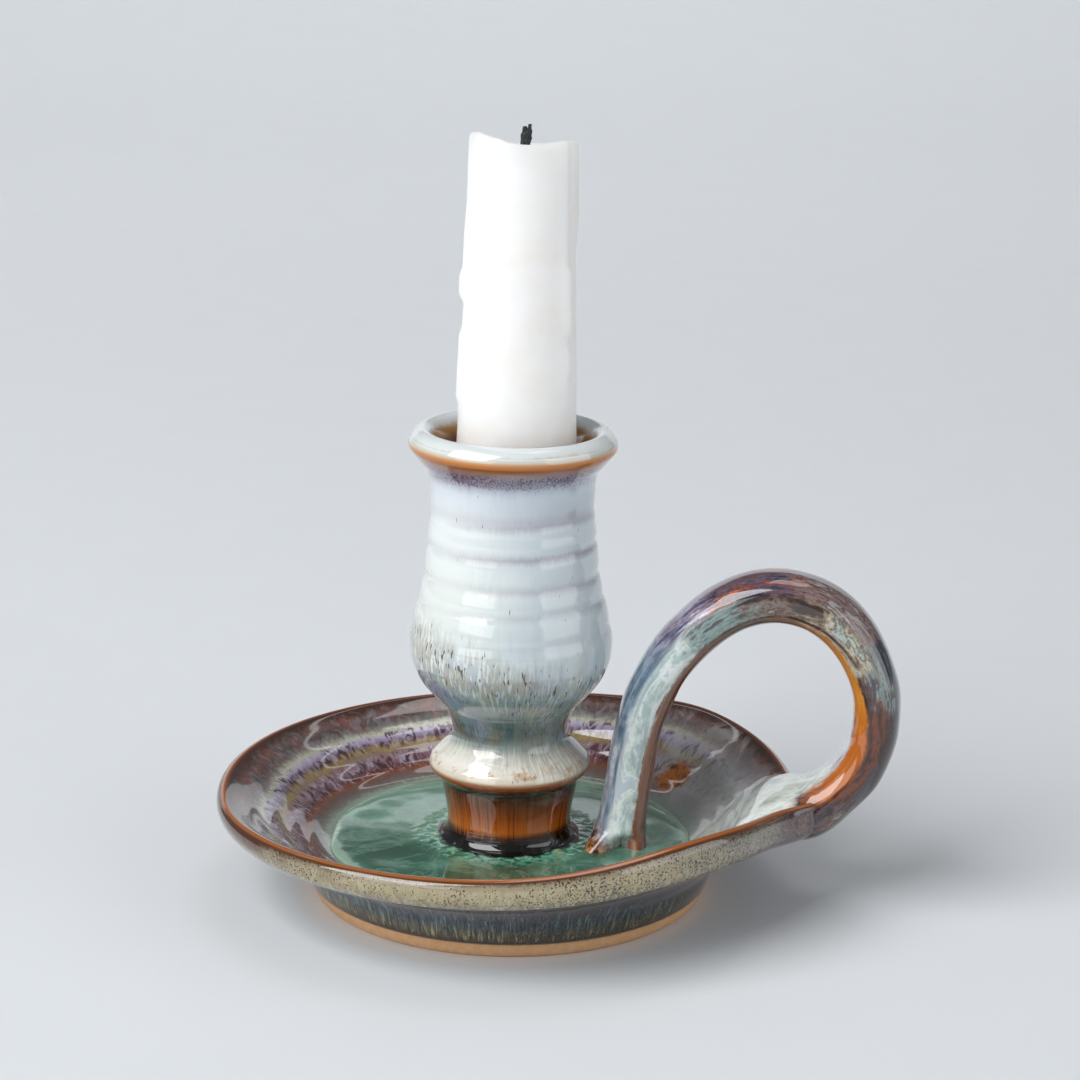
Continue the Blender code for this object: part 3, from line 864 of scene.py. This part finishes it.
SIDE_ZONES = (
    (0, [(0.34, "aabebf"), (0.44, "d0dfdb"), (0.54, "e9f0ec"), (0.64, "c0d0da")]),
    (46, [(0.34, "46605e"), (0.44, "6f8a86"), (0.54, "8fa39e"), (0.64, "4a494e")]),
    (60, [(0.34, "37302f"), (0.44, "5c463c"), (0.52, "7a6c64"), (0.6, "552c1a"), (0.68, "8f948c")]),
    (72, [(0.34, "4a3028"), (0.44, "8d7c66"), (0.52, "c3c0a8"), (0.6, "66524c"), (0.68, "a9b8b0")]),
    (88, [(0.34, "301c16"), (0.44, "563c32"), (0.52, "46566a"), (0.6, "8fa098")]),
    (94, [(0.34, "200d08"), (0.46, "4a2210"), (0.56, "703612"), (0.68, "3a2832")]),
    (115, STRAP_FOOT_PALETTE),
    (124, [(0.34, "c8d1cb"), (0.46, "e0e7e2"), (0.56, "ecf1ed"), (0.66, "d8e0dc")]),
)
INNER_ZONES = (
    (0, [(0.36, "2c1610"), (0.46, "602e12"), (0.56, "905018"), (0.66, "4e2c1e")]),
    (50, [(0.36, "2f2422"), (0.46, "574238"), (0.56, "7c6a5c"), (0.66, "4a3c3a")]),
    (74, [(0.36, "7a4312"), (0.46, "b86c18"), (0.56, "d28a26"), (0.66, "8a5020")]),
    (98, [(0.36, "a28a86"), (0.46, "c0bcc8"), (0.56, "d0d6d6"), (0.66, "b4b8cc")]),
    (112, [(0.34, "aeb8b0"), (0.46, "ccd5cf"), (0.56, "dde2dc"), (0.66, "bcc8c4")]),
)
ZONE_FADE = 2.5


def zones(f, vein, length, table):
    """The palettes of a table, each taking over from the one before at its own length."""
    (_, first), *later = table
    mixed = f.ramp(vein, first)
    for start, palette in later:
        share = f.step(length, start - ZONE_FADE, start + ZONE_FADE)
        mixed = f.mix(mixed, f.ramp(vein, palette), share)
    return mixed


def handle_finish():
    f = Finish("handle_glaze")
    facing = f.surface(0)
    length = f.surface(2)
    spot = f.spot()
    marble = f.streaked(2.0, 0.085, detail=6.0, roughness=0.62, distortion=0.9)
    streaks = f.streaked(5.0, 0.1, detail=5.0, roughness=0.65, distortion=0.5)
    clouds = f.noise(spot, roughness=0.6, distortion=0.8, scale=0.16)
    mottle = f.noise(spot, detail=5.0, roughness=0.65, scale=0.6)
    ragged = f.wander(length, (clouds, 12.0), (streaks, 9.0))
    vein = f.wander(marble, (marble, 0.4), (mottle, 0.42))
    outer = zones(f, vein, ragged, OUTER_ZONES)
    side = zones(f, vein, ragged, SIDE_ZONES)
    inner = zones(f, vein, ragged, INNER_ZONES)
    rust = f.ramp(ragged, [
        (0, "8a4818"), (20, "82421a"), (45, "6a3a24"), (60, "4a2c24"), (70, "7a421c"), (78, "c87a20"),
        (92, "d68a26"), (100, "b8641c"), (112, "bd681e"), (120, "a0582a"), (146, "8a5028"),
    ])
    turn = f.wander(facing, (streaks, 0.5), (mottle, 0.25))
    glaze = f.mix(side, outer, f.step(turn, 0.1, 0.5))
    glaze = f.mix(glaze, inner, f.step(turn, -0.66, -0.82))
    # Rust lines the inner edges, and spreads over the sides low on the loop.
    spread = f.times(f.step(ragged, 90.0, 104.0), 0.28)
    edge = f.times(f.step(f.math("SUBTRACT", turn, spread), -0.38, -0.54), f.step(turn, -0.92, -0.76))
    edge = f.times(edge, f.step(ragged, 124.0, 114.0))
    glaze = f.over(glaze, rust, edge, 0.94)
    toe = f.step(f.wander(length, (mottle, 4.0), (facing, -3.0)), 6.5, 3.0)
    glaze = f.mix(glaze, f.ramp(mottle, [(0.4, "3a1a0b"), (0.5, "8a4f20"), (0.6, "b98a58")]), toe)
    relief = f.wander(f.times(streaks, 0.6), (mottle, 0.5))
    f.glazed()
    return f.done(base=glaze, roughness=f.times(mottle, 0.18), normal=f.bump(relief, 0.09, 0.0004))


# ---- Candle and wick ----

CANDLE_SEAT_Z = 41.4
CANDLE_LEAN = 0.0125
# Runs of wax: angle, width in degrees, height above the surface, top, bottom, and the length of the
# bottom's fade.
WAX_RUNS = (
    (-27, 8, 0.45, 150.0, 94.0, 2.2),
    (-27, 10, 0.75, 119.5, 114.8, 2.2),
    (-26, 9, 0.70, 113.6, 108.6, 2.2),
    (-25, 7, 0.45, 104.5, 101.0, 2.2),
    (-19, 5, -0.35, 150.0, 100.0, 2.2),
    (8, 18, 0.60, 150.0, 122.0, 9.0),
    (188, 13, 0.40, 150.0, 114.0, 2.2),
    (187, 10, 0.55, 118.0, 113.8, 2.2),
    (192, 11, 0.50, 107.0, 95.0, 2.2),
    (96, 14, 0.5, 150.0, 112.0, 2.2),
)
# The melted top's edge: angle, width in degrees, height above the even edge.
TOP_EDGE = ((212, 48, 1.8), (-30, 20, 0.6), (100, 60, -1.5))


def make_candle(finish):
    top = through([(0.3, 139.2), (3.0, 139.3), (5.6, 139.9), (7.6, 141.4), (8.4, 142.1)], 0.3)
    shoulder = through([(8.4, 142.1), (8.9, 142.1), (9.25, 141.7), (9.4, 141.0)], 0.15)
    sides = through(
        [
            (9.4, 141.0), (9.7, 130.0), (10.3, 112.0), (10.9, 94.0), (11.2, 80.0), (11.2, 60.0),
            (11.2, 42.0),
        ],
        0.6,
    )
    foot = through([(11.2, 42.0), (10.8, CANDLE_SEAT_Z), (0.3, CANDLE_SEAT_Z)], 1.2)
    outline = joined(top, shoulder, sides, foot)
    radius, height, angle = turned_rings(outline, steps=216)
    on_side = rise(radius, 6.0, 8.8)
    for at, width, proud, high, low, fade in WAX_RUNS:
        along = rise(height, low - 1.6, low - 1.6 + fade) * rise(height, high + 1.6, high - 0.6)
        radius = radius + proud * turn_hump(angle, at, width) * along * on_side
    x, y = radius * np.cos(angle), radius * np.sin(angle)
    soft = roughened(x, y, height * 0.5, 5.0) * 0.14 + roughened(x, y, height * 0.6, 1.9, seed=5.0) * 0.07
    radius = radius + soft * on_side
    crest = sum(lift * turn_hump(angle, at, width) for at, width, lift in TOP_EDGE)
    crest = crest + 0.25 * roughened(x, y, 0 * x, 2.2, seed=9.0)
    height = height + crest * rise(height, 136.0, 142.2) * rise(radius, 3.0, 8.2)
    x = radius * np.cos(angle) + CANDLE_LEAN * (height - CANDLE_SEAT_Z)
    points = np.stack([x, radius * np.sin(angle), height], axis=-1)
    piece = grid_mesh("tapered_candle", points, turned_surface(angle, height))
    return place(piece, "candle", "candle_wax", finish)


def wax_finish():
    f = Finish("candle_wax")
    spot = f.spot()
    clouds = f.noise(spot, scale=0.12)
    grain = f.noise(spot, detail=4.0, scale=0.8)
    wax = f.ramp(clouds, [(0.3, "f4f3f0"), (0.7, "fbfbfa")])
    roughness = f.step(grain, 0.3, 0.7, 0.34, 0.48)
    shader = f.shader.inputs
    shader["Subsurface Weight"].default_value = 0.8
    shader["Subsurface Radius"].default_value = (1.0, 0.9, 0.8)
    shader["Subsurface Scale"].default_value = 0.008
    return f.done(base=wax, roughness=roughness, normal=f.bump(grain, 0.10, 0.0002))


WICK_RADIUS = 0.72


def make_wick(finish):
    line = through(
        [(1.3, 60.0), (1.4, 138.0), (1.7, 141.0), (2.1, 143.0), (2.35, 144.4), (2.4, 145.1)], 0.12
    )
    line = line[line[:, 1] > 100.0]
    steps = 20
    around = np.linspace(0.0, 2 * math.pi, steps, endpoint=False)
    run = run_along(line)[:, None]
    taper = 0.35 + 0.65 * rise(line[:, 1:2], 145.4, 142.4)
    plait = 1.0 + 0.09 * np.sin(3 * around + run * 4.2) + 0.05 * np.sin(2 * around - run * 5.5)
    x = line[:, 0:1] + WICK_RADIUS * taper * plait * np.cos(around)
    y = WICK_RADIUS * taper * plait * np.sin(around)
    z = line[:, 1:2] + 0 * around
    points = np.stack([x, y, z], axis=-1)[::-1]
    surface = np.stack([0 * x + np.cos(around), 0 * x + np.sin(around), z], axis=-1)[::-1]
    return place(grid_mesh("burnt_wick", points, surface), "candle", "wick", finish)


def wick_finish():
    f = Finish("charred_cotton")
    spot = f.spot()
    grain = f.noise(spot, detail=4.0, roughness=0.7, scale=3.0)
    char = f.ramp(grain, [(0.35, "17181a"), (0.55, "34383b"), (0.72, "6d7476")])
    return f.done(base=char, roughness=0.85, normal=f.bump(grain, 0.8, 0.0003))


# ---- Stage, light and camera ----


# The paper's side view in metres, from the front to the back: distance behind the object, height.
PAPER_OUTLINE = [
    (-1.3, 0.0), (0.0, 0.0), (1.0, 0.0), (1.5, 0.05), (1.85, 0.22), (2.05, 0.6), (2.1, 0.8),
]
PAPER_STEP = 0.08
PAPER_HALF_WIDTH = 1.3


def make_stage():
    """A sheet of paper that lies flat under the object and curves up far behind it."""
    finish = Finish("pale_paper")
    grain = finish.noise(finish.position(), detail=2.0, scale=40.0)
    paper = finish.ramp(grain, [(0.3, "e4e8ec"), (0.7, "e5e9ed")])
    finish.done(base=paper, roughness=0.75)
    outline = through(PAPER_OUTLINE, PAPER_STEP)
    across = np.linspace(-PAPER_HALF_WIDTH, PAPER_HALF_WIDTH, 9)
    heading = math.radians(CAMERA_TURN)
    corners = [
        (AXIS_X - back * math.sin(heading) + side * math.cos(heading),
         back * math.cos(heading) + side * math.sin(heading), high)
        for back, high in outline
        for side in across
    ]
    columns = len(across)
    faces = [
        (i * columns + j, i * columns + j + 1, (i + 1) * columns + j + 1, (i + 1) * columns + j)
        for i in range(len(outline) - 1)
        for j in range(columns - 1)
    ]
    mesh = bpy.data.meshes.new("stage_paper")
    mesh.from_pydata(corners, [], faces)
    mesh.shade_smooth()
    paper_sheet = bpy.data.objects.new("stage_paper", mesh)
    bpy.context.scene.collection.objects.link(paper_sheet)
    mesh.materials.append(finish.material)


def aimed(obj, place, target):
    obj.location = place
    obj.rotation_euler = (Vector(target) - Vector(place)).to_track_quat("-Z", "Y").to_euler()


# The softboxes face this height on the axis, in metres.
LIGHT_TARGET_Z = 0.05


def softbox(name, turn, height, distance, size, power):
    """An area light. Its turn is from the camera's side, seen from above, positive to the right."""
    lamp = bpy.data.lights.new(name, "AREA")
    lamp.shape = "RECTANGLE"
    lamp.size, lamp.size_y = size
    lamp.energy = power
    obj = bpy.data.objects.new(name, lamp)
    bpy.context.scene.collection.objects.link(obj)
    heading = math.radians(-90.0 + CAMERA_TURN + turn)
    rise_by = math.radians(height)
    reach = distance * math.cos(rise_by)
    up = LIGHT_TARGET_Z + distance * math.sin(rise_by)
    aimed(
        obj,
        (AXIS_X + reach * math.cos(heading), reach * math.sin(heading), up),
        (AXIS_X, 0.0, LIGHT_TARGET_Z),
    )
    return obj


# Each softbox: name, turn and height in degrees, distance and size in metres, power in watts.
SOFTBOXES = (
    ("key_softbox", -55.0, 44.0, 1.7, (1.35, 1.25), 27.0),
    ("left_reflector", -42.0, 16.0, 1.8, (1.4, 0.7), 5.0),
    ("top_softbox", 150.0, 74.0, 1.3, (0.5, 0.5), 1.5),
    ("right_reflector", 66.0, 14.0, 1.5, (1.5, 1.3), 8.6),
    ("backdrop_softbox", 180.0, 50.0, 1.6, (2.4, 0.8), 10.6),
)
BACKDROP_DISTANCE = 2.1


def make_lights():
    """The softboxes round the object. The last one lights the backdrop and not the object."""
    *_, back = [softbox(*row) for row in SOFTBOXES]
    heading = math.radians(90.0 + CAMERA_TURN)
    away = (AXIS_X + BACKDROP_DISTANCE * math.cos(heading), BACKDROP_DISTANCE * math.sin(heading), 0.3)
    aimed(back, back.location, away)
    world = bpy.data.worlds.new("studio")
    bpy.context.scene.world = world
    world.use_nodes = True
    background = world.node_tree.nodes["Background"]
    background.inputs["Color"].default_value = (0.94, 0.97, 1.0, 1.0)
    background.inputs["Strength"].default_value = 0.15


def make_camera():
    """The photograph's camera: about half a metre away and looking 15 degrees down."""
    distance, height = 0.4883, 0.1967
    down, aim_right, roll = 14.77, 0.59, 0.65
    data = bpy.data.cameras.new("camera")
    data.lens = 90.25
    data.sensor_width = 36.0
    data.clip_start = 0.01
    camera = bpy.data.objects.new("camera", data)
    bpy.context.scene.collection.objects.link(camera)
    heading = math.radians(CAMERA_TURN)
    spot = Vector((AXIS_X + distance * math.sin(heading), -distance * math.cos(heading), height))
    camera.matrix_world = (
        Matrix.Translation(spot)
        @ Matrix.Rotation(heading, 4, "Z")
        @ Matrix.Rotation(math.radians(90.0 - down), 4, "X")
        @ Matrix.Rotation(math.radians(-aim_right), 4, "Y")
        @ Matrix.Rotation(math.radians(roll), 4, "Z")
    )
    bpy.context.scene.camera = camera
    bpy.context.scene.view_settings.view_transform = "Standard"


def main():
    make_camera()
    make_lights()
    make_stage()
    make_tray(tray_finish())
    make_socket(socket_finish())
    make_pool(pool_finish())
    make_handle(handle_finish())
    make_candle(wax_finish())
    make_wick(wick_finish())


main()
